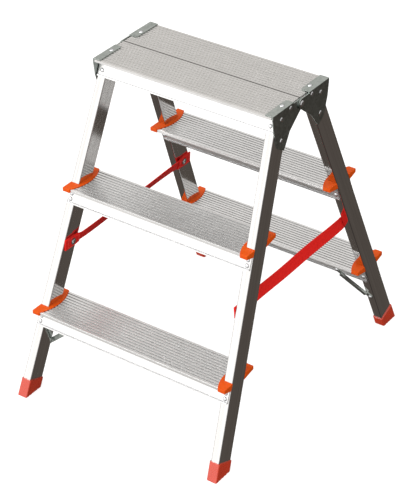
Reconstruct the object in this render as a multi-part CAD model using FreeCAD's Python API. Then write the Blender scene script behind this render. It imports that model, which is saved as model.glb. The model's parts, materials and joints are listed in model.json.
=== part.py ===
"""Double-sided aluminium step ladder: two mirrored halves hinged under a split platform.

Frame: millimetres, +Z up, X across the steps, Y from the front half (-Y) to the rear half (+Y).
The origin is on the floor, midway between the four feet. Every piece is modelled once, on the
right side of the front half, and mirrored to its other places.
"""

import FreeCAD
import Part
import math
import os

Vec = FreeCAD.Vector

# ---- driving dimensions -------------------------------------------------------------------
PLATFORM_TOP = 690.0
STEP_RISE = 250.0
MIDDLE_TOP = PLATFORM_TOP - STEP_RISE
LOWER_TOP = MIDDLE_TOP - STEP_RISE

HALF_WIDTH_FLOOR = 250.6      # outer face of a stile at the floor, from the centre plane
HALF_DEPTH_FLOOR = 343.7      # front face of a stile at the floor, from the hinge plane
LEAN_DEG = 21.52              # each half leans this far from upright
SPLAY = 0.06355               # inward run of a stile per unit of height
LEAN = math.tan(math.radians(LEAN_DEG))

STILE_ACROSS = 19.5
STILE_ALONG = 42.0 / math.cos(math.radians(LEAN_DEG))
STILE_WALL = 1.6
STILE_CORNER = 2.0
STILE_BORE_CORNER = 0.5

STEP_DEPTH = 95.3             # the treads and both platform halves are cut from one extrusion
STEP_OVERHANG = 24.2          # step edge in front of the stile's front face, at the step's top
STEP_SKIN = 3.0
STEP_WALL = 2.0
FRONT_FLANGE = 38.0           # both flanges hang along the stile's faces, to this depth
BACK_FLANGE = 47.0
FLANGE_BEAD = 1.2             # toe along the bottom of a flange
FLANGE_BEAD_HEIGHT = 3.0
NOSE_HEIGHT = 6.0
NOSE_DEPTH = 3.4
NOSE_RADIUS = 1.6
RIB_COUNT = 12
GROOVE_DEPTH = 1.2
GROOVE_TOP = 3.4
GROOVE_BOTTOM = 2.2
PORT_INSET = 34.5             # screw port, from the step's back edge
PORT_OUTER = 4.4
PORT_BORE = 2.35
PORT_DROP = 6.5
TREAD_END_INSET = 1.2
PLATFORM_HALF_LENGTH = 208.4
NOTCH_GAP = 0.3

FOOT_WALL = 2.0
FOOT_SOLE = 6.0
FOOT_FRONT_HEIGHT = 43.0
FOOT_EDGE = 0.8
FOOT_FIT = 0.05
SOLE_GROOVES = 4
SOLE_GROOVE_WIDTH = 2.4
SOLE_GROOVE_DEPTH = 1.2

CAP_RISE = 1.6                # cap top above the tread
CAP_PROUD_FRONT = 2.8         # wing tips beyond the tread's edges
CAP_PROUD_REAR = 1.5
CAP_TIP_WIDTH = 16.6
CAP_INNER_WALL = 10.5         # widest reach over the tread, from the stile's inner face
CAP_SIDE_PROUD = 0.8
CAP_SIDE_DROP = 12.5
CAP_TIP_DROP = 6.5
CAP_EDGE = 1.0
SEAT_GAP = 0.05               # between plastic or screw and the part that it sits on

SHEET = 2.0                   # gusset steel
GUSSET_FLANGE_INNER = 194.5
GUSSET_FLANGE_REAR = 25.0
GUSSET_FLANGE_CORNER = 6.0
FRONT_GUSSET_X = 210.1
REAR_GUSSET_X = 212.9
GUSSET_BOTTOM = 604.0
GUSSET_SHOULDER_Z = 684.0
GUSSET_TAIL = ((-92.0, 655.0), (-81.0, 620.0), (-76.5, 614.0), (-60.5, GUSSET_BOTTOM), (-54.5, 610.5))
GUSSET_WAIST = (-37.1, 635.0)  # Y and Z, as for the tail's corners
PAD_RADIUS = 7.5

HINGE_Z = 678.6
HINGE_LOBE = 10.5
HINGE_PIN = 4.0
HINGE_BORE = 4.05
HINGE_HEAD = 6.4
HINGE_HEAD_HEIGHT = 2.8
HINGE_INNER_HEAD = 2.3
HINGE_RELIEF = 7.8
HINGE_HEAD_GAP = 0.1
WASHER_RADIUS = 9.0
WASHER_THICKNESS = 0.6

RIVET_SHANK = 2.4
RIVET_HOLE = 2.45
RIVET_HEAD = 4.75
RIVET_HEAD_HEIGHT = 2.0
RIVET_DOME_ANGLE = 50.0
RIVET_TAIL = 3.3
RIVET_TAIL_LENGTH = 3.0
RIVET_TAIL_EDGE = 0.6
TREAD_RIVET_DROPS = (19.3, 30.2)
PLATFORM_RIVET_DROPS = (27.1,)
BACK_RIVET_DROP = 33.0
FLANGE_RIVET = (201.5, -48.5)
PORT_SCREW_LENGTH = 18.0
GUSSET_STILE_RIVETS = ((-66.5, 673.4), (-67.0, 628.0))

STRUT_TOP = (164.5, 151.0)    # X and Z of the strut's rivet in the lower tread's back flange
STRUT_FOOT_Z = 92.0
STRUT_TAB_WIDTH = 10.5
STRUT_TAB_THICKNESS = 1.6
STRUT_TAB_REACH = 13.0
STRUT_WIDTH = 9.6
STRUT_DEPTH = 5.0
STRUT_WALL = 1.5
STRUT_STAND_OFF = 3.0
STRUT_ROOM = 0.6              # cut back from the flange's bead, each side of the strut

STRAP_Z = 317.0
STRAP_WIDTH = 25.0
STRAP_THICKNESS = 2.2
STRAP_GAP = 0.3
STRAP_END = 218.0
STRAP_FOLD = 46.0             # length of the doubled end
STRAP_RIVET_Y = 193.0
STRAP_HOLE = 2.7
STRAP_WASHER = 7.5
STRAP_WASHER_THICKNESS = 1.0

ORIGIN = Vec(0, 0, 0)
AXIS_X = Vec(1, 0, 0)
AXIS_Y = Vec(0, 1, 0)
AXIS_Z = Vec(0, 0, 1)
REACH = 400.0                 # longer than any piece, for cutting tools


# ---- the stile's planes, right side of the front half --------------------------------------
def outer_x(z):
    return HALF_WIDTH_FLOOR - SPLAY * z


def inner_x(z):
    return outer_x(z) - STILE_ACROSS


def middle_x(z):
    return outer_x(z) - STILE_ACROSS / 2


def face_y(z):
    return -HALF_DEPTH_FLOOR + LEAN * z


def back_y(z):
    return face_y(z) + STILE_ALONG


def step_edge_y(top):
    return face_y(top) - STEP_OVERHANG


BACK_NORMAL = Vec(0, math.cos(math.radians(LEAN_DEG)), -math.sin(math.radians(LEAN_DEG)))
SIDE_NORMAL = Vec(-1, 0, -SPLAY).normalize()      # out of a stile's inner side face
SIDE_UP = Vec(-SPLAY, 0, 1).normalize()           # up that face
FLANGE_STACK = NOTCH_GAP * BACK_NORMAL.y + STEP_WALL   # stile's face to the outside of a flange


# ---- general shapes ------------------------------------------------------------------------
def prism(points, direction):
    """Solid swept straight from a closed polygon."""
    wire = Part.makePolygon([Vec(*p) for p in points] + [Vec(*points[0])])
    return Part.Face(wire).extrude(direction)


def side_prism(points, x_low, x_high):
    """Polygon in (y, z), swept along X."""
    return prism([(x_low, y, z) for y, z in points], AXIS_X * (x_high - x_low))


def rounded_rectangle(x_low, x_high, y_low, y_high, z, radius):
    corners = [(x_high, y_high, 0), (x_low, y_high, 90), (x_low, y_low, 180), (x_high, y_low, 270)]
    edges = []
    last = None
    first = None
    for x, y, start in corners:
        sign_x = 1 if x == x_high else -1
        sign_y = 1 if y == y_high else -1
        centre = Vec(x - sign_x * radius, y - sign_y * radius, z)
        ends = [centre + radius * Vec(math.cos(math.radians(a)), math.sin(math.radians(a)), 0)
                for a in (start, start + 45, start + 90)]
        if last is None:
            first = ends[0]
        else:
            edges.append(Part.LineSegment(last, ends[0]).toShape())
        edges.append(Part.Arc(*ends).toShape())
        last = ends[2]
    edges.append(Part.LineSegment(last, first).toShape())
    return Part.Face(Part.Wire(edges))


def stile_prism(grow_x, grow_y, low, high, corner):
    """Block along the stile's axis, its section grown by the given amounts."""
    section = rounded_rectangle(
        inner_x(low) - grow_x, outer_x(low) + grow_x,
        face_y(low) - grow_y, back_y(low) + grow_y, low, corner)
    height = high - low
    return section.extrude(Vec(-SPLAY * height, LEAN * height, height))


def stile_slot(gap, low, high):
    """The stile's room in a step or a cap: open towards the outside of the ladder."""
    points = [(inner_x(low) - gap, face_y(low) - gap, low), (outer_x(low) + REACH, face_y(low) - gap, low),
              (outer_x(low) + REACH, back_y(low) + gap, low), (inner_x(low) - gap, back_y(low) + gap, low)]
    height = high - low
    return prism(points, Vec(-SPLAY * height, LEAN * height, height))


def rod(start, direction, length, radius):
    return Part.makeCylinder(radius, length, start, direction)


def rivet(seat, outward, grip, head=RIVET_HEAD, head_height=RIVET_HEAD_HEIGHT, shank=RIVET_SHANK):
    """Blind rivet: domed head on the seat, shank through the grip, set tail behind it."""
    crown = Vec(0, 0, head_height)
    shoulder_angle = math.radians(RIVET_DOME_ANGLE)
    shoulder = Vec(head * math.sin(shoulder_angle), 0, head_height * math.cos(shoulder_angle))
    tail_top = -grip
    tail_end = tail_top - RIVET_TAIL_LENGTH
    dome = Part.Arc(crown, shoulder, Vec(head, 0, 0)).toShape()
    outline = [
        Vec(head, 0, 0), Vec(shank, 0, 0), Vec(shank, 0, tail_top),
        Vec(RIVET_TAIL, 0, tail_top - RIVET_TAIL_EDGE), Vec(RIVET_TAIL, 0, tail_end + RIVET_TAIL_EDGE),
        Vec(shank, 0, tail_end), Vec(0, 0, tail_end), crown]
    edges = [dome]
    for start, end in zip(outline, outline[1:]):
        edges.append(Part.LineSegment(start, end).toShape())
    body = Part.Face(Part.Wire(edges)).revolve(ORIGIN, AXIS_Z, 360)
    body.Placement = FreeCAD.Placement(seat, FreeCAD.Rotation(AXIS_Z, outward))
    return body


def ring(centre, direction, thickness, outer, bore):
    return rod(centre, direction, thickness, outer).cut(rod(centre, direction, thickness, bore))


def mirror_x(shape):
    return shape.mirror(ORIGIN, AXIS_X)


def mirror_y(shape):
    return shape.mirror(ORIGIN, AXIS_Y)


def both_ends(shapes):
    return shapes + [mirror_x(s) for s in shapes]


# ---- fastener seats, right side of the front half ------------------------------------------
def flange_rivet_seats(top, drops):
    """Front flange rivets of a step: (seat, outward, grip)."""
    seats = []
    for drop in drops:
        z = top - drop
        seat = Vec(middle_x(z), face_y(z), z) - BACK_NORMAL * FLANGE_STACK
        seats.append((seat, -BACK_NORMAL, FLANGE_STACK + STILE_WALL))
    return seats


def back_rivet_seats(top):
    z = top - BACK_RIVET_DROP
    seat = Vec(middle_x(z), back_y(z), z) + BACK_NORMAL * FLANGE_STACK
    return [(seat, BACK_NORMAL, FLANGE_STACK + STILE_WALL)]


def tread_rivet_seats(top):
    return flange_rivet_seats(top, TREAD_RIVET_DROPS) + back_rivet_seats(top)


def platform_rivet_seats():
    return flange_rivet_seats(PLATFORM_TOP, PLATFORM_RIVET_DROPS) + back_rivet_seats(PLATFORM_TOP)


def strut_foot():
    z = STRUT_FOOT_Z
    return Vec(middle_x(z), back_y(z), z)


def strut_head():
    x, z = STRUT_TOP
    return Vec(x, back_y(z), z) + BACK_NORMAL * FLANGE_STACK


def strut_downhill():
    run = strut_foot() - strut_head()
    return (run - BACK_NORMAL * run.dot(BACK_NORMAL)).normalize()


def strut_rivet_seats():
    seats = []
    for point, wall in ((strut_head(), STEP_WALL), (strut_foot(), STILE_WALL)):
        seats.append((point + BACK_NORMAL * STRUT_TAB_THICKNESS, BACK_NORMAL, STRUT_TAB_THICKNESS + wall))
    return seats


def strap_seat():
    """Point on the stile's inner side face behind the strap's rivet."""
    return Vec(inner_x(STRAP_Z), -STRAP_RIVET_Y, STRAP_Z)


def strap_rivet_seats():
    stack = STRAP_GAP + 2 * STRAP_THICKNESS + STRAP_WASHER_THICKNESS
    return [(strap_seat() + SIDE_NORMAL * stack, SIDE_NORMAL, stack + STILE_WALL)]


def gusset_rivet_seats(plate_x):
    """Rivets through the side plate into the stile, at the given inner face of the plate."""
    seats = []
    for y, z in GUSSET_STILE_RIVETS:
        laid_on_stile = outer_x(z) > plate_x
        outward = -SIDE_NORMAL if laid_on_stile else AXIS_X
        gap = 0 if laid_on_stile else plate_x - outer_x(z) + RIVET_TAIL * SPLAY
        face = max(plate_x, outer_x(z)) + SHEET
        seats.append((Vec(face, y, z), outward, gap + SHEET + STILE_WALL))
    return seats


def flange_rivet_seat():
    x, y = FLANGE_RIVET
    return (Vec(x, y, PLATFORM_TOP + SHEET), AXIS_Z, SHEET + STEP_SKIN)


def port_point(x):
    return Vec(x, step_edge_y(PLATFORM_TOP) + STEP_DEPTH - PORT_INSET, PLATFORM_TOP - PORT_DROP)


def bored(shape, seats):
    """Clearance holes for rivets, from outside each head to the end of its tail."""
    for seat, outward, grip in seats:
        depth = grip + RIVET_TAIL_LENGTH
        shape = shape.cut(rod(seat + outward, -outward, depth + 1, RIVET_HOLE))
    return shape


# ---- pieces of one half ----------------------------------------------------------------------
def stile(plate_x):
    """Rectangular tube, cut level at the foot and under the platform."""
    top = port_point(0).z - PORT_OUTER - NOTCH_GAP
    wall_y = STILE_WALL / math.cos(math.radians(LEAN_DEG))
    tube = stile_prism(0, 0, FOOT_SOLE, top, STILE_CORNER)
    tube = tube.cut(stile_prism(-STILE_WALL, -wall_y, FOOT_SOLE, top, STILE_BORE_CORNER))
    seats = tread_rivet_seats(LOWER_TOP) + tread_rivet_seats(MIDDLE_TOP) + platform_rivet_seats()
    seats += strut_rivet_seats()[1:] + strap_rivet_seats() + gusset_rivet_seats(plate_x)
    return bored(tube, seats)


def foot():
    """Slip-on plastic shoe with a grooved sole."""
    height = FOOT_FRONT_HEIGHT + 1
    shoe = stile_prism(FOOT_WALL, FOOT_WALL, 0, height, STILE_CORNER + FOOT_EDGE)
    front = face_y(0) - FOOT_WALL
    rear = back_y(height) + 2 * FOOT_WALL
    cut_off = [(front - REACH, FOOT_FRONT_HEIGHT + REACH * LEAN),
               (rear, FOOT_FRONT_HEIGHT - (rear - front) * LEAN), (rear, REACH), (front - REACH, REACH)]
    shoe = shoe.cut(side_prism(cut_off, 0, REACH))
    shoe = shoe.cut(stile_prism(FOOT_FIT, FOOT_FIT, FOOT_SOLE, REACH, STILE_CORNER + FOOT_FIT))
    pitch = STILE_ALONG / (SOLE_GROOVES + 1)
    for i in range(1, SOLE_GROOVES + 1):
        y = face_y(0) + pitch * i - SOLE_GROOVE_WIDTH / 2
        shoe = shoe.cut(Part.makeBox(REACH, SOLE_GROOVE_WIDTH, SOLE_GROOVE_DEPTH, Vec(0, y, 0)))
    return shoe


def step_profile(top):
    """Section of the step extrusion: ribbed deck, two flanges along the stile's faces, screw port."""
    edge = step_edge_y(top)
    slant = math.cos(math.radians(LEAN_DEG))
    under = -STEP_SKIN
    port = STEP_DEPTH - PORT_INSET

    def point(back, up):
        return Vec(0, edge + back, top + up)

    def front_flange(up, thickness):
        return point(STEP_OVERHANG + LEAN * up - NOTCH_GAP - thickness / slant, up)

    def back_flange(up, thickness):
        return point(STEP_OVERHANG + STILE_ALONG + LEAN * up + NOTCH_GAP + thickness / slant, up)

    def flange(side, depth):
        """From the flange's outer root round its toe to the inner root."""
        toe = STEP_WALL + FLANGE_BEAD
        shoulder = FLANGE_BEAD_HEIGHT - depth
        return [side(under, STEP_WALL), side(shoulder, STEP_WALL), side(shoulder, toe), side(-depth, toe),
                side(-depth, 0), side(under, 0)]

    def corner(start, through, end):
        return Part.Arc(start, through, end).toShape()

    def lines(points):
        return [Part.LineSegment(a, b).toShape() for a, b in zip(points, points[1:])]

    pitch = STEP_DEPTH / RIB_COUNT
    deck = [point(NOSE_RADIUS, 0)]
    for i in range(1, RIB_COUNT):
        middle = i * pitch
        deck += [point(middle - GROOVE_TOP / 2, 0), point(middle - GROOVE_BOTTOM / 2, -GROOVE_DEPTH),
                 point(middle + GROOVE_BOTTOM / 2, -GROOVE_DEPTH), point(middle + GROOVE_TOP / 2, 0)]
    deck.append(point(STEP_DEPTH - NOSE_RADIUS, 0))
    rear = [point(STEP_DEPTH, -NOSE_RADIUS), point(STEP_DEPTH, -NOSE_HEIGHT),
            point(STEP_DEPTH - NOSE_DEPTH, -NOSE_HEIGHT), point(STEP_DEPTH - NOSE_DEPTH, under)]
    rear += flange(back_flange, BACK_FLANGE)
    rear += [point(port + PORT_OUTER, under), point(port + PORT_OUTER, -PORT_DROP)]
    front = [point(port - PORT_OUTER, -PORT_DROP), point(port - PORT_OUTER, under)]
    front += reversed(flange(front_flange, FRONT_FLANGE))
    front += [point(NOSE_DEPTH, under), point(NOSE_DEPTH, -NOSE_HEIGHT), point(0, -NOSE_HEIGHT),
              point(0, -NOSE_RADIUS)]
    inset = NOSE_RADIUS * (1 - math.cos(math.radians(45)))
    edges = lines(deck)
    edges.append(corner(deck[-1], point(STEP_DEPTH - inset, -inset), rear[0]))
    edges += lines(rear)
    edges.append(corner(rear[-1], point(port, -PORT_DROP - PORT_OUTER), front[0]))
    edges += lines(front)
    edges.append(corner(front[-1], point(inset, -inset), deck[0]))
    bore = Part.Circle(point(port, -PORT_DROP), AXIS_X, PORT_BORE).toShape()
    return Part.Wire(edges), Part.Wire(bore)


def step_blank(top, half_length):
    outline, bore = step_profile(top)
    blank = Part.Face(outline).extrude(AXIS_X * (2 * half_length))
    blank = blank.cut(Part.Face(bore).extrude(AXIS_X * (2 * half_length)))
    blank.translate(Vec(-half_length, 0, 0))
    return blank


def bored_both_ends(shape, seats):
    return mirror_x(bored(mirror_x(bored(shape, seats)), seats))


def tread_half_length(top):
    return outer_x(top) - TREAD_END_INSET


def tread(top):
    """A step whose deck is notched round the stiles, its flanges riveted to their faces."""
    body = step_blank(top, tread_half_length(top))
    slot = stile_slot(NOTCH_GAP, top - BACK_FLANGE - NOSE_HEIGHT, top + NOSE_HEIGHT)
    for side in both_ends([slot]):
        body = body.cut(side)
    seats = tread_rivet_seats(top)
    if top == LOWER_TOP:
        seats = seats + strut_rivet_seats()[:1]
        for room in both_ends([strut_room()]):
            body = body.cut(room)
    return bored_both_ends(body, seats).removeSplitter()


def platform_half():
    body = step_blank(PLATFORM_TOP, PLATFORM_HALF_LENGTH)
    hinge = Vec(PLATFORM_HALF_LENGTH - HINGE_PIN, 0, HINGE_Z)
    for side in both_ends([rod(hinge, AXIS_X, REACH, HINGE_RELIEF)]):
        body = body.cut(side)
    return bored_both_ends(body, platform_rivet_seats() + [flange_rivet_seat()])


def cap(top):
    """Moulded collar round the stile on three sides, its wings over the tread's end."""
    end = tread_half_length(top) + SEAT_GAP
    side = outer_x(top) + CAP_SIDE_PROUD
    tip = side - CAP_TIP_WIDTH
    wall = inner_x(top) - CAP_INNER_WALL
    edge = step_edge_y(top)
    front = edge - CAP_PROUD_FRONT
    rear = edge + STEP_DEPTH + CAP_PROUD_REAR

    crown = top + CAP_RISE
    low = top - CAP_TIP_DROP

    def corner(x, y):
        return Vec(x, y, low)

    outline = [
        Part.LineSegment(corner(tip, rear), corner(side, rear)),
        Part.LineSegment(corner(side, rear), corner(side, front)),
        Part.LineSegment(corner(side, front), corner(tip, front)),
        Part.Arc(corner(tip, front), corner(wall, (front + rear) / 2), corner(tip, rear)),
    ]
    block = Part.Face(Part.Wire([e.toShape() for e in outline])).extrude(AXIS_Z * (crown - low))
    room_front = edge - SEAT_GAP
    room_rear = edge + STEP_DEPTH + SEAT_GAP
    room_top = top + SEAT_GAP
    room = side_prism([(room_front, low - REACH), (room_front, room_top), (room_rear, room_top),
                       (room_rear, low - REACH)], 0, end)
    hem = top - CAP_SIDE_DROP
    skirt = side_prism([(front, crown), (front, low), (face_y(hem), hem), (back_y(hem), hem), (rear, low),
                        (rear, crown)], end, side)
    body = block.cut(room).fuse(skirt).removeSplitter()
    rim = [e for e in body.Edges if all(abs(v.Point.z - crown) < SEAT_GAP for v in e.Vertexes)]
    tips = [e for e in body.Edges if len(e.Vertexes) == 2 and is_upright(e)
            and min(abs(e.Vertexes[0].Point.y - y) for y in (front, rear)) < SEAT_GAP]
    body = body.makeFillet(CAP_EDGE, rim + tips)
    return body.cut(stile_slot(0, top - BACK_FLANGE, top + FRONT_FLANGE))


def is_upright(edge):
    start, end = [v.Point for v in edge.Vertexes]
    return abs(start.x - end.x) + abs(start.y - end.y) < SEAT_GAP


def tangent_point(outside, centre, radius, turn):
    """Where a line from an outside point (y, z) touches a circle; turn picks the side."""
    dy = outside[0] - centre[0]
    dz = outside[1] - centre[1]
    distance = math.hypot(dy, dz)
    angle = math.atan2(dz, dy) + turn * math.acos(radius / distance)
    return (centre[0] + radius * math.cos(angle), centre[1] + radius * math.sin(angle))


def gusset(plate_x):
    """Pressed steel side plate: hinge lobe, folded top flange, tail laid along the stile."""
    crown = PLATFORM_TOP + SHEET
    low = GUSSET_BOTTOM - SHEET
    tail_x = max(plate_x, outer_x(low))
    bend_z = (HALF_WIDTH_FLOOR - plate_x) / SPLAY if tail_x > plate_x else GUSSET_BOTTOM + SHEET
    outline = [(GUSSET_FLANGE_INNER, PLATFORM_TOP), (plate_x, PLATFORM_TOP), (plate_x, bend_z),
               (tail_x, low), (tail_x + SHEET, low), (plate_x + SHEET, bend_z), (plate_x + SHEET, crown),
               (GUSSET_FLANGE_INNER, crown)]
    front = step_edge_y(PLATFORM_TOP)
    start = front - SHEET
    width = HINGE_LOBE + SHEET - start
    sheet = prism([(x, start, z) for x, z in outline], AXIS_Y * width)
    fold = [e for e in sheet.Edges if abs(e.BoundBox.XMin - plate_x - SHEET) < SEAT_GAP
            and abs(e.BoundBox.ZMin - crown) < SEAT_GAP and e.BoundBox.YLength > width / 2]
    sheet = sheet.makeFillet(SHEET, fold)

    hinge = (0.0, HINGE_Z)
    touch = tangent_point(GUSSET_WAIST, hinge, HINGE_LOBE, 1)
    flange_end = -GUSSET_FLANGE_REAR
    border = [(flange_end, HINGE_Z + HINGE_LOBE), (flange_end, crown), (front, crown)]
    border += [(front, GUSSET_SHOULDER_Z)] + list(GUSSET_TAIL) + [GUSSET_WAIST, touch]
    points = [Vec(0, y, z) for y, z in border]
    lobe_side = Vec(0, HINGE_LOBE, HINGE_Z)
    lobe_top = Vec(0, 0, HINGE_Z + HINGE_LOBE)
    edges = [Part.LineSegment(a, b).toShape() for a, b in zip(points, points[1:])]
    edges.append(Part.Arc(points[-1], lobe_side, lobe_top).toShape())
    edges.append(Part.LineSegment(lobe_top, points[0]).toShape())
    cutter = Part.Face(Part.Wire(edges)).extrude(AXIS_X * REACH)
    plate = sheet.common(cutter)

    corner = Vec(GUSSET_FLANGE_INNER, flange_end - GUSSET_FLANGE_CORNER, PLATFORM_TOP)
    square = Part.makeBox(GUSSET_FLANGE_CORNER, GUSSET_FLANGE_CORNER, SHEET, corner)
    centre = corner + AXIS_X * GUSSET_FLANGE_CORNER
    plate = plate.cut(square.cut(rod(centre, AXIS_Z, SHEET, GUSSET_FLANGE_CORNER)))

    for y, z in GUSSET_STILE_RIVETS:
        gap = plate_x - outer_x(z)
        if gap > 0:
            pad = rod(Vec(plate_x - gap - SHEET, y, z), AXIS_X, gap + 2 * SHEET, PAD_RADIUS)
            plate = plate.fuse(pad.cut(stile_prism(0, 0, GUSSET_BOTTOM, PLATFORM_TOP, STILE_CORNER)))
    screw = port_point(PLATFORM_HALF_LENGTH)
    gap = plate_x - PLATFORM_HALF_LENGTH
    plate = plate.fuse(rod(screw + AXIS_X * SEAT_GAP, AXIS_X, gap + SHEET - SEAT_GAP, PORT_OUTER))
    plate = plate.removeSplitter()
    plate = bored(plate, gusset_rivet_seats(plate_x) + [flange_rivet_seat()])
    plate = plate.cut(rod(screw, AXIS_X, REACH, RIVET_HOLE))
    return plate.cut(rod(Vec(plate_x - 1, 0, HINGE_Z), AXIS_X, SHEET + 2, HINGE_BORE))


def port_screw(plate_x):
    """Fixing through the side plate into the platform's screw port."""
    seat = port_point(plate_x + SHEET)
    head = rivet(seat, AXIS_X, 1)
    head = head.common(rod(seat, AXIS_X, RIVET_HEAD_HEIGHT, RIVET_HEAD))
    shank = rod(seat, -AXIS_X, SHEET + PORT_SCREW_LENGTH, PORT_BORE - SEAT_GAP)
    return head.fuse(shank).removeSplitter()


def placed_box(centre, along, across, length, width, depth):
    """Box with its length, width and depth along three perpendicular directions."""
    normal = along.cross(across)
    start = centre - along * (length / 2) - across * (width / 2) - normal * (depth / 2)
    base = [start, start + along * length, start + along * length + across * width, start + across * width]
    return Part.Face(Part.makePolygon(base + [base[0]])).extrude(normal * depth)


def strut_room():
    """Where the flange's bead gives way to the strut."""
    along = strut_downhill()
    middle = strut_head() + along * STRUT_TAB_REACH + BACK_NORMAL * (STRUT_DEPTH / 2)
    width = STRUT_TAB_WIDTH + 2 * STRUT_ROOM
    return placed_box(middle, along, BACK_NORMAL.cross(along), 4 * STRUT_TAB_REACH, width, STRUT_DEPTH)


def strut_tab(rivet_point, along):
    across = BACK_NORMAL.cross(along)
    middle = rivet_point + along * (STRUT_TAB_REACH / 2) + BACK_NORMAL * (STRUT_TAB_THICKNESS / 2)
    plate = placed_box(middle, along, across, STRUT_TAB_REACH, STRUT_TAB_WIDTH, STRUT_TAB_THICKNESS)
    return plate.fuse(rod(rivet_point, BACK_NORMAL, STRUT_TAB_THICKNESS, STRUT_TAB_WIDTH / 2))


def strut():
    """Pressed channel from the lower tread's back flange down to the stile, its ends flattened."""
    head = strut_head()
    foot_point = strut_foot()
    downhill = strut_downhill()
    top_end = head + downhill * STRUT_TAB_REACH + BACK_NORMAL * STRUT_STAND_OFF
    low_end = foot_point - downhill * STRUT_TAB_REACH + BACK_NORMAL * STRUT_STAND_OFF
    along = low_end - top_end
    length = along.Length + STRUT_DEPTH / 2
    along = along.normalize()
    across = BACK_NORMAL.cross(along).normalize()
    centre = (top_end + low_end) / 2
    bar = placed_box(centre, along, across, length, STRUT_WIDTH, STRUT_DEPTH)
    normal = along.cross(across)
    hollow_centre = centre - normal * STRUT_WALL
    hollow_width = STRUT_WIDTH - 2 * STRUT_WALL
    hollow = placed_box(hollow_centre, along, across, length - 2 * STRUT_DEPTH, hollow_width, STRUT_DEPTH)
    bar = bar.cut(hollow)
    bar = bar.fuse(strut_tab(head, downhill)).fuse(strut_tab(foot_point, -downhill))
    return bored(bar.removeSplitter(), strut_rivet_seats())


# ---- pieces across the halves ----------------------------------------------------------------
def strap():
    """Webbing stay on the stiles' inner side faces, its ends doubled and riveted."""
    face = strap_seat() - AXIS_Y * strap_seat().y - SIDE_UP * (STRAP_WIDTH / 2)
    near = STRAP_GAP
    single = near + STRAP_THICKNESS
    double = single + STRAP_THICKNESS
    fold = STRAP_END - STRAP_FOLD
    outline = [(-STRAP_END, near), (STRAP_END, near), (STRAP_END, double), (fold, double),
               (fold - STRAP_THICKNESS, single), (STRAP_THICKNESS - fold, single), (-fold, double),
               (-STRAP_END, double)]
    base = [face + AXIS_Y * y + SIDE_NORMAL * off for y, off in outline]
    band = Part.Face(Part.makePolygon(base + [base[0]])).extrude(SIDE_UP * STRAP_WIDTH)
    hole = rod(strap_seat(), SIDE_NORMAL, STRAP_WIDTH, STRAP_HOLE)
    return band.cut(hole).cut(mirror_y(hole))


def strap_washer():
    seat = strap_seat() + SIDE_NORMAL * (STRAP_GAP + 2 * STRAP_THICKNESS)
    return ring(seat, SIDE_NORMAL, STRAP_WASHER_THICKNESS, STRAP_WASHER, RIVET_HOLE)


def hinge_pin():
    """Shouldered pin through both side plates, free to turn in the outer one."""
    inner = FRONT_GUSSET_X - HINGE_INNER_HEAD
    seat = Vec(REAR_GUSSET_X + SHEET + HINGE_HEAD_GAP, 0, HINGE_Z)
    dome = rivet(seat, AXIS_X, 1, HINGE_HEAD, HINGE_HEAD_HEIGHT, HINGE_PIN)
    dome = dome.common(rod(seat, AXIS_X, HINGE_HEAD_HEIGHT, HINGE_HEAD))
    shank = rod(Vec(inner, 0, HINGE_Z), AXIS_X, seat.x - inner, HINGE_PIN)
    flange = rod(Vec(inner, 0, HINGE_Z), AXIS_X, HINGE_INNER_HEAD, HINGE_HEAD)
    return dome.fuse(shank).fuse(flange).removeSplitter()


def hinge_washer():
    gap = REAR_GUSSET_X - FRONT_GUSSET_X - SHEET
    start = Vec(FRONT_GUSSET_X + SHEET + (gap - WASHER_THICKNESS) / 2, 0, HINGE_Z)
    return ring(start, AXIS_X, WASHER_THICKNESS, WASHER_RADIUS, HINGE_BORE)


# ---- assembly --------------------------------------------------------------------------------
def save(name, shape):
    solids = shape.Solids
    if not solids or not all(s.isValid() for s in solids):
        raise ValueError(name + " is not a set of valid solids")
    shape = solids[0] if len(solids) == 1 else Part.makeCompound(solids)
    shape.exportStep("parts/" + name + ".step")
    print(name, len(solids), "solids,", round(sum(s.Volume for s in solids) / 1000, 2), "cm3")


def set_rivets(seats):
    return [rivet(*seat) for seat in seats]


def save_half(half, plate_x, place):
    """All nodes of one half; place moves front-half shapes to that half."""
    sides = (("right", lambda shape: place(shape)), ("left", lambda shape: mirror_x(place(shape))))
    paired = {"stile": stile(plate_x), "foot": foot(), "gusset": gusset(plate_x), "strut": strut(),
              "lower_cap": cap(LOWER_TOP), "middle_cap": cap(MIDDLE_TOP)}
    for name, shape in paired.items():
        for side, arrange in sides:
            save("_".join((half, side, name)), arrange(shape))

    save(half + "_lower_tread", place(tread(LOWER_TOP)))
    save(half + "_middle_tread", place(tread(MIDDLE_TOP)))
    save(half + "_platform", place(platform_half()))

    tread_seats = tread_rivet_seats(LOWER_TOP) + tread_rivet_seats(MIDDLE_TOP) + platform_rivet_seats()
    gusset_rivets = set_rivets(gusset_rivet_seats(plate_x) + [flange_rivet_seat()]) + [port_screw(plate_x)]
    groups = {"tread_rivets": set_rivets(tread_seats), "gusset_rivets": gusset_rivets,
              "strut_rivets": set_rivets(strut_rivet_seats()),
              "strap_rivets": set_rivets(strap_rivet_seats()) + [strap_washer()]}
    for name, solids in groups.items():
        save(half + "_" + name, place(Part.makeCompound(both_ends(solids))))


def main():
    os.makedirs("parts", exist_ok=True)
    save_half("front", FRONT_GUSSET_X, lambda shape: shape)
    save_half("rear", REAR_GUSSET_X, mirror_y)
    for name, shape in {"strap": strap(), "hinge_pin": hinge_pin(), "hinge_washer": hinge_washer()}.items():
        save("right_" + name, shape)
        save("left_" + name, mirror_x(shape))


main()
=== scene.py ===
"""Looks for the double-sided step ladder: materials, woven stays, camera, lights and floor."""

import json
import math

import bmesh
import bpy
from mathutils import Matrix, Vector


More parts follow.
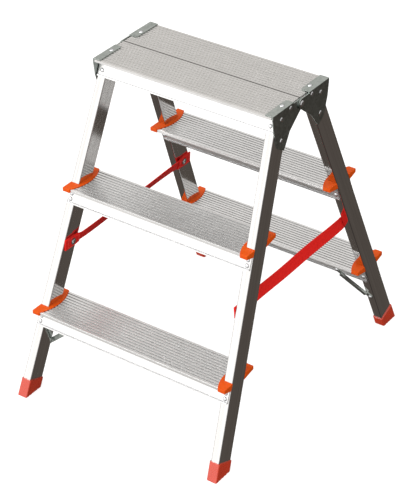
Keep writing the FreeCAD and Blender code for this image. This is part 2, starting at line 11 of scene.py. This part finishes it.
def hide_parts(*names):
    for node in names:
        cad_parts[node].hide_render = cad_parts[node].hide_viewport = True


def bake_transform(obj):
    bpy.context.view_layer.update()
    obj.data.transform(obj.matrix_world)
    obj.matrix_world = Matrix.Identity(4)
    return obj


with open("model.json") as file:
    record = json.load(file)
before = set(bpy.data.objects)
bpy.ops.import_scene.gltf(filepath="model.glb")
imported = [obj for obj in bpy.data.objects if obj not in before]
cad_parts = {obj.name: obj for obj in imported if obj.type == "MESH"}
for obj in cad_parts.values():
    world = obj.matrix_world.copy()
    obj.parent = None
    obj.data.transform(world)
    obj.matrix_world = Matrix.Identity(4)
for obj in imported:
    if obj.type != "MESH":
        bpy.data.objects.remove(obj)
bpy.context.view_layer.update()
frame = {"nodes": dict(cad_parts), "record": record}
NODES = frame["nodes"]
SIDES = {"right": 1.0, "left": -1.0}

# ---- view of the photograph --------------------------------------------------------------------
CAMERA_TARGET = Vector((-0.0066, 0.0, 0.2644))
CAMERA_AZIMUTH = math.radians(35.445)
CAMERA_ELEVATION = math.radians(33.348)
CAMERA_ROLL = math.radians(-0.58)
CAMERA_DISTANCE = 3.8656
CAMERA_LENS = 134.36
CAMERA_SENSOR = 36.0
CAMERA_SHIFT_X = -0.0055
CAMERA_REACH = 60.0

# ---- the ladder's slants and step profile, for streaks and painted shade on the extruded metal ---
LEAN = 0.39427
SPLAY = 0.06355
STEP_RISE = 0.250
STEP_TOP_REMAINDER = 0.190    # the height of every step, less whole rises
GROOVE_DEPTH = 0.0012
FRONT_BEAD_DROP = 0.0350      # from the tread's top to the upper edge of the bead
BACK_BEAD_DROP = 0.0440
BEAD_SHADE_LINE = (0.0005, 0.0011)  # half-widths of the painted shade line above a bead: solid, and faded out
SEAM_SHADE_HALF_WIDTH = 0.0014      # painted shade along the gap between the platform's halves

EDGE_SAMPLES = 4


# ---- webbing stays: each lies along y, flat on the inner faces of a front and a rear stile ------
STRAP_X = 0.21095             # the stile's inner side face at the stay's middle line
STRAP_Z = 0.317
STRAP_STAND_OFF = 0.0004      # clear of the stile's face
WEB_WIDTH = 0.0246
WEB_THICKNESS = 0.0019
WEAVE_ALONG = 0.0016          # pitch of the weave
WEAVE_ACROSS = 0.0013
SELVEDGE_THICKNESS = 0.0022
SELVEDGE_WIDTH = 0.0022
LAYER_PITCH = 0.00225         # between the middles of the two layers of a doubled end
STRAP_END = 0.2178            # outer end of the loop, along y from the middle
STRAP_FOLD = 0.0455           # length of the doubled end
TWIST = {"right": math.radians(22.0), "left": math.radians(20.0)}
BOW = {"right": 0.0012, "left": 0.0018}
TWIST_FLAT = 0.190            # the stay lies flat on the stile beyond this
TWIST_FULL = 0.166            # and leans by its full twist within this
RIPPLE = (0.12, 21.0, 0.8)    # uneven twist: share, turns per metre in radians, phase
BOW_RIPPLE = (0.5, 34.0)
FOLD_STEPS = 20               # sections along a doubled end, round its loop and along the stay
LOOP_STEPS = 12
RUN_STEPS = 200
SELVEDGE_STEPS = 5
STITCH_PITCH = 0.0036
STITCH_LENGTH = 0.0029
STITCH_RADIUS = 0.00042
STITCH_BOX = (0.1765, 0.2085, 0.0095)     # nearest and farthest |y|, and half the width
STITCH_RINGS = 7
STITCH_SIDES = 8


# ---- node graph helpers ------------------------------------------------------------------------
class Graph:
    """A material's node tree, with short calls for the nodes that the finishes share."""

    def __init__(self, name):
        self.material = bpy.data.materials.new(name)
        self.material.use_nodes = True
        self.tree = self.material.node_tree
        self.tree.nodes.clear()
        self.output = self.tree.nodes.new("ShaderNodeOutputMaterial")
        self.shader = self.tree.nodes.new("ShaderNodeBsdfPrincipled")
        self.link(self.shader.outputs[0], self.output.inputs["Surface"])
        self.coords = self.tree.nodes.new("ShaderNodeTexCoord")

    def link(self, source, target):
        self.tree.links.new(source, target)

    def feed(self, node, socket, value):
        """Sets an input to a constant, or links it to another node's output."""
        target = node.inputs[socket]
        if isinstance(value, bpy.types.NodeSocket):
            self.link(value, target)
        else:
            target.default_value = value

    def set(self, **values):
        names = {"color": "Base Color", "metallic": "Metallic", "roughness": "Roughness", "normal": "Normal",
                 "sheen": "Sheen Weight", "sheen_roughness": "Sheen Roughness",
                 "specular": "Specular IOR Level", "subsurface": "Subsurface Weight",
                 "subsurface_scale": "Subsurface Scale"}
        for key, value in values.items():
            self.feed(self.shader, names[key], value)

    def math(self, operation, a, b=0.0, clamp=False):
        node = self.tree.nodes.new("ShaderNodeMath")
        node.operation = operation
        node.use_clamp = clamp
        for index, value in enumerate((a, b)):
            self.feed(node, index, value)
        return node.outputs[0]

    def position(self):
        node = self.tree.nodes.new("ShaderNodeSeparateXYZ")
        self.link(self.coords.outputs["Object"], node.inputs[0])
        return node.outputs

    def normal(self):
        """The surface's normal in its own node's frame, so that a finish turns with its piece."""
        node = self.tree.nodes.new("ShaderNodeSeparateXYZ")
        self.link(self.coords.outputs["Normal"], node.inputs[0])
        return node.outputs

    def vector(self, x, y, z):
        node = self.tree.nodes.new("ShaderNodeCombineXYZ")
        for index, value in enumerate((x, y, z)):
            self.feed(node, index, value)
        return node.outputs[0]

    def noise(self, vector, scale, detail=3.0, roughness=0.5):
        node = self.tree.nodes.new("ShaderNodeTexNoise")
        self.link(vector, node.inputs["Vector"])
        node.inputs["Scale"].default_value = scale
        node.inputs["Detail"].default_value = detail
        node.inputs["Roughness"].default_value = roughness
        return node.outputs["Fac"]

    def cells(self, vector, scale):
        """One random colour for each cell of a broken pattern."""
        node = self.tree.nodes.new("ShaderNodeTexVoronoi")
        self.link(vector, node.inputs["Vector"])
        node.inputs["Scale"].default_value = scale
        return node.outputs["Color"]

    def remap(self, value, low, high, to_low, to_high):
        node = self.tree.nodes.new("ShaderNodeMapRange")
        self.feed(node, "Value", value)
        for name, number in (("From Min", low), ("From Max", high), ("To Min", to_low), ("To Max", to_high)):
            node.inputs[name].default_value = number
        return node.outputs[0]

    def mix(self, factor, first, second):
        node = self.tree.nodes.new("ShaderNodeMix")
        node.data_type = "RGBA"
        self.feed(node, 0, factor)
        for index, value in ((6, first), (7, second)):
            self.feed(node, index, value)
        return node.outputs[2]

    def bump(self, height, distance, strength, edge=None):
        """Fine relief, over edges that look rounded to the given radius."""
        node = self.tree.nodes.new("ShaderNodeBump")
        node.inputs["Strength"].default_value = strength
        node.inputs["Distance"].default_value = distance
        self.link(height, node.inputs["Height"])
        if edge:
            self.link(self.soft_edge(edge), node.inputs["Normal"])
        return node.outputs[0]

    def soft_edge(self, radius):
        node = self.tree.nodes.new("ShaderNodeBevel")
        node.samples = EDGE_SAMPLES
        node.inputs["Radius"].default_value = radius
        return node.outputs[0]


def rgb(red, green, blue):
    return (red, green, blue, 1.0)


# ---- finishes ----------------------------------------------------------------------------------
def stile_finish():
    """Satin extruded tube: die lines along the slanted stile, handling marks, and painted shade on the
    rounded corners.
    """
    g = Graph("stile_aluminium")
    x, y, z = g.position()
    across = g.math("ADD", g.math("ABSOLUTE", x), g.math("MULTIPLY", z, SPLAY))
    depth = g.math("ADD", g.math("ABSOLUTE", y), g.math("MULTIPLY", z, LEAN))
    along = g.vector(across, depth, g.math("MULTIPLY", z, 0.012))
    lines = g.noise(along, 900.0, 4.0, 0.6)
    bands = g.noise(along, 130.0, 2.0, 0.5)
    marks = g.noise(g.coords.outputs["Object"], 38.0, 5.0, 0.65)
    tone = g.math("ADD", g.math("MULTIPLY", lines, 0.35), g.math("MULTIPLY", bands, 0.65))
    streaked = g.mix(g.remap(tone, 0.36, 0.64, 0.0, 1.0), rgb(0.70, 0.69, 0.68), rgb(0.86, 0.855, 0.85))
    normal = g.normal()
    turning = g.math("ABSOLUTE", g.math("MULTIPLY", normal[0], normal[1]))
    # Painted shade: where the normal turns between faces, at the rounded corners, the colour goes towards
    # dark grey to draw the edges' outlines.
    color = g.mix(g.remap(turning, 0.12, 0.3, 0.0, 0.7), streaked, rgb(0.30, 0.30, 0.31))
    rough = g.math("ADD", g.remap(lines, 0.3, 0.7, 0.08, 0.13), g.remap(marks, 0.4, 0.75, 0.0, 0.04))
    g.set(color=color, metallic=1.0, roughness=rough, normal=g.bump(lines, 0.00001, 0.3, edge=0.0012))
    return g.material


def step_finish(name, low, high, rough_low, rough_high, groove_wall_shade, painted_groove_floor):
    """Ribbed extrusion: die lines and random tone, with light and shade painted in: own tones by facing for
    the tops and upright flanges, painted shade on the groove walls, a painted tone on the groove floors, and
    dark lines above the beads and along the seams.
    """
    g = Graph(name)
    x, y, z = g.position()
    facing = g.normal()
    along = g.vector(g.math("MULTIPLY", x, 0.01), y, z)
    lines = g.noise(along, 1400.0, 3.0, 0.6)
    patches = g.noise(g.coords.outputs["Object"], 26.0, 4.0, 0.6)
    tone = g.math("ADD", g.math("MULTIPLY", lines, 0.5), g.math("MULTIPLY", patches, 0.5))
    shade = g.remap(tone, 0.35, 0.65, 0.0, 1.0)

    below = g.math("SUBTRACT", STEP_TOP_REMAINDER, g.math("MODULO", z, STEP_RISE))
    # Painted shade and light in the grooves: the sloping walls take a dark tone to hold back their
    # reflections, and the groove floors their own tone, darker than a tread's top and paler than the
    # platform's.
    shallow = g.remap(below, GROOVE_DEPTH * 1.2, GROOVE_DEPTH * 2.0, 1.0, 0.0)
    level = g.remap(facing[2], 0.6, 0.9, 0.0, 1.0)
    sunk = g.remap(below, GROOVE_DEPTH * 0.5, GROOVE_DEPTH * 0.8, 0.0, 1.0)
    floor_of_groove = g.math("MULTIPLY", sunk, level)
    sloping = g.math("MULTIPLY", g.remap(facing[2], 0.2, 0.35, 0.0, 1.0), g.math("SUBTRACT", 1.0, level))
    wall_of_groove = g.math("MULTIPLY", sloping, shallow, clamp=True)
    top = g.mix(shade, low, high)
    top_with_painted_grooves = g.mix(wall_of_groove, g.mix(floor_of_groove, top, painted_groove_floor), groove_wall_shade)

    outward = g.math("GREATER_THAN", g.math("MULTIPLY", y, facing[1]), 0.0)
    bead_step = g.math("MULTIPLY", outward, BACK_BEAD_DROP - FRONT_BEAD_DROP)
    bead_drop = g.math("SUBTRACT", BACK_BEAD_DROP, bead_step)
    # Painted shade: a dark grey line on the flange just above its bead, in the crease where shade falls.
    from_bead = g.math("ABSOLUTE", g.math("SUBTRACT", below, bead_drop))
    # Painted light and shade by facing: upright faces outside the grooves take their own grey instead of the
    # top's, paler than the platform's top and a little darker than a tread's.
    upright_painted_tone = g.mix(shade, rgb(0.76, 0.76, 0.76), rgb(0.84, 0.84, 0.84))
    flange = g.mix(g.remap(from_bead, *BEAD_SHADE_LINE, 1.0, 0.0), upright_painted_tone, rgb(0.45, 0.46, 0.48))
    upright = g.remap(facing[2], 0.35, 0.5, 1.0, 0.0)
    beside = g.math("MULTIPLY", upright, g.math("SUBTRACT", 1.0, shallow), clamp=True)
    inner_face = g.math("MULTIPLY", beside, g.math("SUBTRACT", 1.0, outward), clamp=True)

    rough = g.remap(lines, 0.3, 0.7, rough_low, rough_high)
    rough = g.math("SUBTRACT", rough, g.math("MULTIPLY", beside, 0.12))
    rough = g.math("ADD", rough, g.math("MULTIPLY", wall_of_groove, 0.2))
    rough = g.math("ADD", rough, g.math("MULTIPLY", inner_face, 0.3))
    # Painted shade: near-black along the gap between the platform's halves, to hold back the reflections of
    # the halves' rounded edges.
    seam = g.remap(g.math("ABSOLUTE", y), SEAM_SHADE_HALF_WIDTH, SEAM_SHADE_HALF_WIDTH * 1.6, 1.0, 0.0)
    color = g.mix(seam, g.mix(beside, top_with_painted_grooves, flange), rgb(0.16, 0.155, 0.15))
    g.set(color=color, metallic=1.0, roughness=rough, normal=g.bump(lines, 0.00004, 0.4, edge=0.0004))
    return g.material


def galvanised_finish():
    """Zinc plate with a faint spangle; upright faces take a darker copy of the zinc, painted shade."""
    g = Graph("galvanised_steel")
    spangle = g.cells(g.coords.outputs["Object"], 260.0)
    tone = g.noise(g.coords.outputs["Object"], 60.0, 4.0, 0.6)
    shade = g.math("ADD", g.math("MULTIPLY", spangle, 0.45), g.math("MULTIPLY", tone, 0.55))
    patch = g.remap(shade, 0.25, 0.75, 0.0, 1.0)
    zinc = g.mix(patch, rgb(0.36, 0.40, 0.375), rgb(0.52, 0.555, 0.53))
    shaded_zinc = g.mix(patch, rgb(0.30, 0.34, 0.32), rgb(0.44, 0.48, 0.46))
    # Painted shade: faces that stand upright take the darker copy of the zinc, faces that look up the paler
    # one.
    color = g.mix(g.remap(g.normal()[2], 0.3, 0.7, 0.0, 1.0), shaded_zinc, zinc)
    g.set(color=color, metallic=1.0, roughness=g.remap(shade, 0.2, 0.8, 0.30, 0.46),
          normal=g.bump(tone, 0.0001, 0.3, edge=0.0005))
    return g.material


def rivet_finish():
    """Bright set rivets, with fine wear."""
    g = Graph("rivet_steel")
    wear = g.noise(g.coords.outputs["Object"], 420.0, 3.0, 0.6)
    color = g.mix(g.remap(wear, 0.35, 0.65, 0.0, 1.0), rgb(0.60, 0.61, 0.63), rgb(0.74, 0.75, 0.77))
    g.set(color=color, metallic=1.0, roughness=g.remap(wear, 0.3, 0.7, 0.12, 0.22),
          normal=g.bump(wear, 0.00006, 0.4))
    return g.material


def moulded_finish(name, base, light, rough, specular):
    """Injection moulded plastic with a fine spark texture and faint paler flow marks."""
    g = Graph(name)
    grain = g.noise(g.coords.outputs["Object"], 1500.0, 2.0, 0.5)
    flow = g.noise(g.coords.outputs["Object"], 42.0, 3.0, 0.55)
    color = g.mix(g.remap(flow, 0.3, 0.75, 0.0, 0.55), base, light)
    g.set(color=color, roughness=g.remap(grain, 0.3, 0.7, rough, rough + 0.1), specular=specular,
          subsurface=0.04, subsurface_scale=0.003, normal=g.bump(grain, 0.00005, 0.5, edge=0.0007))
    return g.material


def webbing_finish():
    """Flat woven polyester: a twill of small diagonal floats between two firm selvedges."""
    g = Graph("strap_webbing")
    split = g.tree.nodes.new("ShaderNodeSeparateXYZ")
    g.link(g.coords.outputs["UV"], split.inputs[0])
    along, across = split.outputs[0], split.outputs[1]
    column = g.math("MULTIPLY", across, 1.0 / WEAVE_ACROSS)
    row = g.math("MULTIPLY", along, 1.0 / WEAVE_ALONG)
    mirrored = g.math("PINGPONG", g.math("MULTIPLY", across, 0.5 / WEAVE_ACROSS), 4.0)
    float_phase = g.math("FRACT", g.math("ADD", row, mirrored))
    float_bulge = g.math("SINE", g.math("MULTIPLY", float_phase, math.pi))
    thread_bulge = g.math("SINE", g.math("MULTIPLY", g.math("FRACT", column), math.pi))
    height = g.math("MULTIPLY", float_bulge, thread_bulge)
    fibre = g.noise(g.vector(along, g.math("MULTIPLY", across, 9.0), 0.0), 2200.0, 3.0, 0.6)
    # Painted shade with fibre tone: the colour is darker where the weave's relief is low, between the
    # threads, with the fibre noise on top.
    shade = g.math("ADD", g.math("MULTIPLY", height, 0.8), g.math("MULTIPLY", fibre, 0.3))
    color = g.mix(g.remap(shade, 0.1, 0.9, 0.0, 1.0), rgb(0.60, 0.008, 0.007), rgb(0.86, 0.018, 0.012))
    g.set(color=color, roughness=0.68, specular=0.2, sheen=0.04, sheen_roughness=0.4,
          normal=g.bump(shade, 0.0003, 0.6))
    return g.material


def thread_finish():
    """Twisted sewing thread, a little paler than the webbing."""
    g = Graph("strap_thread")
    twist = g.noise(g.coords.outputs["Object"], 2600.0, 2.0, 0.5)
    color = g.mix(g.remap(twist, 0.3, 0.7, 0.0, 1.0), rgb(0.52, 0.02, 0.015), rgb(0.9, 0.1, 0.07))
    g.set(color=color, roughness=0.55, sheen=0.2, normal=g.bump(twist, 0.0002, 0.6))
    return g.material


def nylon_finish():
    """Natural nylon, slightly cloudy."""
    g = Graph("washer_nylon")
    cloud = g.noise(g.coords.outputs["Object"], 300.0, 3.0, 0.5)
    color = g.mix(g.remap(cloud, 0.3, 0.7, 0.0, 1.0), rgb(0.72, 0.70, 0.64), rgb(0.84, 0.82, 0.77))
    g.set(color=color, roughness=0.42, subsurface=0.15, subsurface_scale=0.002,
          normal=g.bump(cloud, 0.0001, 0.3))
    return g.material


# The wall and floor tones below are painted shade and light for the ribs' grooves.
TREAD_TONES = {
    "low": rgb(0.82, 0.82, 0.82), "high": rgb(0.93, 0.93, 0.925), "rough_low": 0.30, "rough_high": 0.42,
    "groove_wall_shade": rgb(0.30, 0.30, 0.30), "painted_groove_floor": rgb(0.72, 0.72, 0.72),
}
PLATFORM_TONES = {
    "low": rgb(0.67, 0.66, 0.645), "high": rgb(0.74, 0.73, 0.715), "rough_low": 0.46, "rough_high": 0.56,
    "groove_wall_shade": rgb(0.39, 0.385, 0.375), "painted_groove_floor": rgb(0.78, 0.77, 0.755),
}
CAP_TONES = {
    "base": rgb(0.66, 0.076, 0.003), "light": rgb(0.75, 0.104, 0.006), "rough": 0.36, "specular": 0.12,
}
FOOT_TONES = {
    "base": rgb(0.55, 0.036, 0.010), "light": rgb(0.65, 0.052, 0.015), "rough": 0.24, "specular": 1.0,
}
FINISHES = {
    "stile_aluminium": stile_finish(),
    "step_aluminium": step_finish("step_aluminium", **TREAD_TONES),
    "platform_aluminium": step_finish("platform_aluminium", **PLATFORM_TONES),
    "galvanised_steel": galvanised_finish(),
    "rivet_steel": rivet_finish(),
    "cap_plastic": moulded_finish("cap_plastic", **CAP_TONES),
    "foot_plastic": moulded_finish("foot_plastic", **FOOT_TONES),
    "strap_webbing": webbing_finish(),
    "washer_nylon": nylon_finish(),
}
THREAD = thread_finish()


def dress_nodes():
    for part in frame["record"]["subparts"]:
        materials = NODES[part["node"]].data.materials
        materials.clear()
        materials.append(FINISHES[part["material_slot"]])


# ---- webbing stays -----------------------------------------------------------------------------
def smoothstep(low, high, value):
    t = min(max((value - low) / (high - low), 0.0), 1.0)
    return t * t * (3.0 - 2.0 * t)


class StrapFrame:
    """Places (along, off the stile, across) coordinates of one stay in the ladder's frame."""

    def __init__(self, side):
        sign = SIDES[side]
        self.side = side
        self.middle = Vector((sign * STRAP_X, 0.0, STRAP_Z))
        self.off = Vector((-sign, 0.0, -SPLAY)).normalized()
        self.up = Vector((-sign * SPLAY, 0.0, 1.0)).normalized()

    def place(self, along, off, across):
        slack = 1.0 - smoothstep(TWIST_FULL, TWIST_FLAT, abs(along))
        share, rate, phase = RIPPLE
        turn = TWIST[self.side] * slack * (1.0 + share * math.sin(along * rate + phase))
        bow_share, bow_rate = BOW_RIPPLE
        bow = BOW[self.side] * slack * (1.0 + bow_share * math.sin(along * bow_rate))
        lean = self.up * math.cos(turn) + self.off * math.sin(turn)
        face = self.off * math.cos(turn) - self.up * math.sin(turn)
        clear = STRAP_STAND_OFF + WEB_THICKNESS / 2 + bow
        base = self.middle + Vector((0.0, along, 0.0)) + self.off * clear
        return base + lean * across + face * off


def strap_path():
    """Middle line as (along, off, tangent): cut end, loop, long run, loop, cut end."""
    path = []
    turn_y = STRAP_END - LAYER_PITCH
    start_y = STRAP_END - STRAP_FOLD
    for i in range(FOLD_STEPS):
        along = -start_y - (turn_y - start_y) * i / FOLD_STEPS
        path.append((along, LAYER_PITCH, (-1.0, 0.0)))
    radius = LAYER_PITCH / 2
    for i in range(LOOP_STEPS):
        angle = math.pi * i / LOOP_STEPS
        along = -turn_y - radius * math.sin(angle)
        off = radius * (1.0 + math.cos(angle))
        path.append((along, off, (-math.cos(angle), -math.sin(angle))))
    near_end = path[::-1]
    for i in range(RUN_STEPS + 1):
        path.append((turn_y * (2.0 * i / RUN_STEPS - 1.0), 0.0, (1.0, 0.0)))
    return path + [(-along, off, (ty, -toff)) for along, off, (ty, toff) in near_end]


def web_section():
    """Outline of the cross section, (across, rise): a flat body between two round, thicker selvedges."""
    half = WEB_WIDTH / 2
    body = WEB_THICKNESS / 2
    selvedge = SELVEDGE_THICKNESS / 2
    right_top = []
    for i in reversed(range(SELVEDGE_STEPS + 1)):
        angle = math.pi / 2 * i / SELVEDGE_STEPS
        across = half - SELVEDGE_WIDTH / 2 * (1.0 - math.sin(angle))
        right_top.append((across, selvedge * math.cos(angle)))
    right_top.append((half - SELVEDGE_WIDTH, selvedge * 0.96))
    right_top.append((half - SELVEDGE_WIDTH * 1.35, body))
    right_top.append((half / 2, body))
    right_top.append((0.0, body))
    left_top = [(-w, t) for w, t in reversed(right_top[:-1])]
    upper = right_top + left_top
    lower = [(w, -t) for w, t in reversed(upper[1:-1])]
    return upper + lower


def add_mesh(name, vertices, faces, uvs=None):
    mesh = bpy.data.meshes.new(name)
    mesh.from_pydata([tuple(v) for v in vertices], [], faces)
    if uvs:
        layer = mesh.uv_layers.new(name="UVMap")
        for loop in mesh.loops:
            layer.data[loop.index].uv = uvs[loop.vertex_index]
    mesh.polygons.foreach_set("use_smooth", [True] * len(mesh.polygons))
    mesh.update()
    piece = bpy.data.objects.new(name, mesh)
    bpy.context.scene.collection.objects.link(piece)
    return piece


def make_strap(side):
    """One stay: the section swept along its path, doubled back on itself at both ends."""
    frame_of = StrapFrame(side)
    path = strap_path()
    section = web_section()
    count = len(section)
    vertices = []
    uvs = []
    travelled = 0.0
    last = path[0][:2]
    for along, off, (tangent_y, tangent_off) in path:
        travelled += math.hypot(along - last[0], off - last[1])
        last = (along, off)
        for across, rise in section:
            vertices.append(frame_of.place(along + tangent_off * rise, off - tangent_y * rise, across))
            uvs.append((travelled, across))
    faces = []
    for i in range(len(path) - 1):
        low = i * count
        high = low + count
        for j in range(count):
            k = (j + 1) % count
            faces.append((low + j, high + j, high + k, low + k))
    faces.append(tuple(range(count)))
    faces.append(tuple((len(path) - 1) * count + j for j in reversed(range(count))))
    strap = add_mesh(side + "_webbing", vertices, faces, uvs)
    mend_normals(strap)
    strap.data.materials.append(FINISHES["strap_webbing"])
    return strap


def mend_normals(piece):
    work = bmesh.new()
    work.from_mesh(piece.data)
    bmesh.ops.recalc_face_normals(work, faces=work.faces)
    work.to_mesh(piece.data)
    work.free()


def stitch_line(start, end):
    """Middles and directions of the stitches from start to end, in (along, across)."""
    run = Vector(end) - Vector(start)
    count = max(1, round(run.length / STITCH_PITCH))
    return [(Vector(start) + run * ((i + 0.5) / count), run.normalized()) for i in range(count)]


def add_stitch(frame_of, middle, heading, vertices, faces):
    """One stitch: a short round thread whose ends dip into the webbing."""
    first = len(vertices)
    surface = LAYER_PITCH + WEB_THICKNESS / 2
    beside = Vector((-heading[1], heading[0]))
    for i in range(STITCH_RINGS):
        t = i / (STITCH_RINGS - 1) * 2.0 - 1.0
        centre = middle + heading * (t * STITCH_LENGTH / 2)
        height = surface + STITCH_RADIUS * (0.75 - 1.5 * t * t)
        for j in range(STITCH_SIDES):
            angle = math.tau * j / STITCH_SIDES
            spot = centre + beside * (STITCH_RADIUS * math.cos(angle))
            off = height + STITCH_RADIUS * math.sin(angle)
            vertices.append(frame_of.place(spot[0], off, spot[1]))
    for i in range(STITCH_RINGS - 1):
        low = first + i * STITCH_SIDES
        high = low + STITCH_SIDES
        for j in range(STITCH_SIDES):
            k = (j + 1) % STITCH_SIDES
            faces.append((low + j, low + k, high + k, high + j))
    last = first + (STITCH_RINGS - 1) * STITCH_SIDES
    faces.append(tuple(first + j for j in reversed(range(STITCH_SIDES))))
    faces.append(tuple(last + j for j in range(STITCH_SIDES)))


def make_stitches(side):
    """Box of stitches round each rivet, holding the doubled end."""
    frame_of = StrapFrame(side)
    near, far, half = STITCH_BOX
    vertices = []
    faces = []
    for end in (-1.0, 1.0):
        corners = [(end * near, -half), (end * far, -half), (end * far, half), (end * near, half)]
        for start, stop in zip(corners, corners[1:] + corners[:1]):
            for middle, heading in stitch_line(start, stop):
                add_stitch(frame_of, middle, heading, vertices, faces)
    thread = add_mesh(side + "_stitching", vertices, faces)
    mend_normals(thread)
    thread.data.materials.append(THREAD)
    return thread


def make_straps():
    for side in SIDES:
        strap = make_strap(side)
        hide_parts(side + "_strap")
        for piece in (strap, make_stitches(side)):
            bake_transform(piece)


# ---- floor, lights and camera ------------------------------------------------------------------
FLOOR_HALF = 14.0
FLOOR_GLOW = 0.76
LIGHT_TARGET = Vector((0.0, 0.0, 0.35))
# Each lobe of the world: where it lies, the cosines where it begins and is full, and its strength.
WINDOW = ((-0.62, -0.76, 0.02), 0.45, 0.9, 1.3)
WINDOW_SILL = ((0.0, 0.0, 1.0), -1.1, -0.2, 1.0)
CEILING = ((-0.1, 0.15, 1.0), 0.0, 0.8, 0.80)
DOORWAY = ((0.5, -0.85, 0.15), 0.6, 0.95, 0.8)
WALL_STRENGTH = 0.09


def make_floor():
    """Pale floor that glows a little, so that it runs into the white background."""
    mesh = bpy.data.meshes.new("floor")
    corners = [(-FLOOR_HALF, -FLOOR_HALF, 0), (FLOOR_HALF, -FLOOR_HALF, 0),
               (FLOOR_HALF, FLOOR_HALF, 0), (-FLOOR_HALF, FLOOR_HALF, 0)]
    mesh.from_pydata(corners, [], [(0, 1, 2, 3)])
    floor = bpy.data.objects.new("floor", mesh)
    bpy.context.scene.collection.objects.link(floor)
    g = Graph("pale_floor")
    g.set(color=rgb(0.42, 0.42, 0.42), roughness=0.9, specular=0.0)
    g.shader.inputs["Emission Color"].default_value = rgb(1.0, 1.0, 1.0)
    g.shader.inputs["Emission Strength"].default_value = FLOOR_GLOW
    mesh.materials.append(g.material)
    floor.visible_glossy = False
    floor.visible_diffuse = False


def make_studio():
    """World of a room: a big window at the front left, a doorway, a pale ceiling and dim warm walls."""
    world = bpy.data.worlds.new("studio")
    bpy.context.scene.world = world
    world.use_nodes = True
    tree = world.node_tree
    tree.nodes.clear()
    output = tree.nodes.new("ShaderNodeOutputWorld")
    direction = tree.nodes.new("ShaderNodeTexCoord").outputs["Generated"]

    def lobe(axis, low, high, strength):
        dot = tree.nodes.new("ShaderNodeVectorMath")
        dot.operation = "DOT_PRODUCT"
        tree.links.new(direction, dot.inputs[0])
        dot.inputs[1].default_value = Vector(axis).normalized()
        ramp = tree.nodes.new("ShaderNodeMapRange")
        ramp.interpolation_type = "SMOOTHSTEP"
        tree.links.new(dot.outputs["Value"], ramp.inputs["Value"])
        ramp.inputs["From Min"].default_value = low
        ramp.inputs["From Max"].default_value = high
        ramp.inputs["To Max"].default_value = strength
        return ramp.outputs[0]

    def combine(operation, first, second):
        node = tree.nodes.new("ShaderNodeMath")
        node.operation = operation
        tree.links.new(first, node.inputs[0])
        tree.links.new(second, node.inputs[1])
        return node.outputs[0]

    def background(color, strength):
        node = tree.nodes.new("ShaderNodeBackground")
        node.inputs["Color"].default_value = color
        node.inputs["Strength"].default_value = strength
        return node

    window = combine("MULTIPLY", lobe(*WINDOW), lobe(*WINDOW_SILL))
    glow = combine("ADD", combine("ADD", window, lobe(*CEILING)), lobe(*DOORWAY))
    lit = background(rgb(1.0, 0.99, 0.975), 1.0)
    tree.links.new(glow, lit.inputs["Strength"])
    walls = background(rgb(1.0, 0.85, 0.74), WALL_STRENGTH)
    room = tree.nodes.new("ShaderNodeAddShader")
    tree.links.new(lit.outputs[0], room.inputs[0])
    tree.links.new(walls.outputs[0], room.inputs[1])
    plain = background(rgb(0.97, 0.97, 0.97), 1.0)
    paths = tree.nodes.new("ShaderNodeLightPath")
    choose = tree.nodes.new("ShaderNodeMixShader")
    tree.links.new(paths.outputs["Is Camera Ray"], choose.inputs[0])
    tree.links.new(room.outputs[0], choose.inputs[1])
    tree.links.new(plain.outputs[0], choose.inputs[2])
    tree.links.new(choose.outputs[0], output.inputs["Surface"])


def area_light(name, location, size, power):
    light = bpy.data.lights.new(name, "AREA")
    light.size = size
    light.energy = power
    lamp = bpy.data.objects.new(name, light)
    bpy.context.scene.collection.objects.link(lamp)
    lamp.location = location
    lamp.rotation_mode = "QUATERNION"
    lamp.rotation_quaternion = (LIGHT_TARGET - Vector(location)).to_track_quat("-Z", "Y")
    return lamp


def make_lights():
    area_light("key", (-1.9, -2.6, 2.6), 1.6, 45.0)
    area_light("top", (0.5, -0.6, 3.2), 2.2, 12.0)
    fill = area_light("fill", (2.7, -0.9, 1.1), 1.8, 24.0)
    fill.visible_glossy = False


def make_camera():
    level = math.cos(CAMERA_ELEVATION)
    away = Vector((math.sin(CAMERA_AZIMUTH) * level, -math.cos(CAMERA_AZIMUTH) * level,
                   math.sin(CAMERA_ELEVATION)))
    data = bpy.data.cameras.new("camera")
    data.lens = CAMERA_LENS
    data.sensor_width = CAMERA_SENSOR
    data.shift_x = CAMERA_SHIFT_X
    data.clip_end = CAMERA_REACH
    camera = bpy.data.objects.new("camera", data)
    bpy.context.scene.collection.objects.link(camera)
    camera.rotation_mode = "QUATERNION"
    camera.location = CAMERA_TARGET + away * CAMERA_DISTANCE
    turn = Matrix.Rotation(CAMERA_ROLL, 3, away)
    camera.rotation_quaternion = (turn @ (-away).to_track_quat("-Z", "Y").to_matrix()).to_quaternion()
    bpy.context.scene.camera = camera


make_camera()
dress_nodes()
make_straps()
make_floor()
make_studio()
make_lights()
bpy.context.scene.view_settings.view_transform = "Standard"
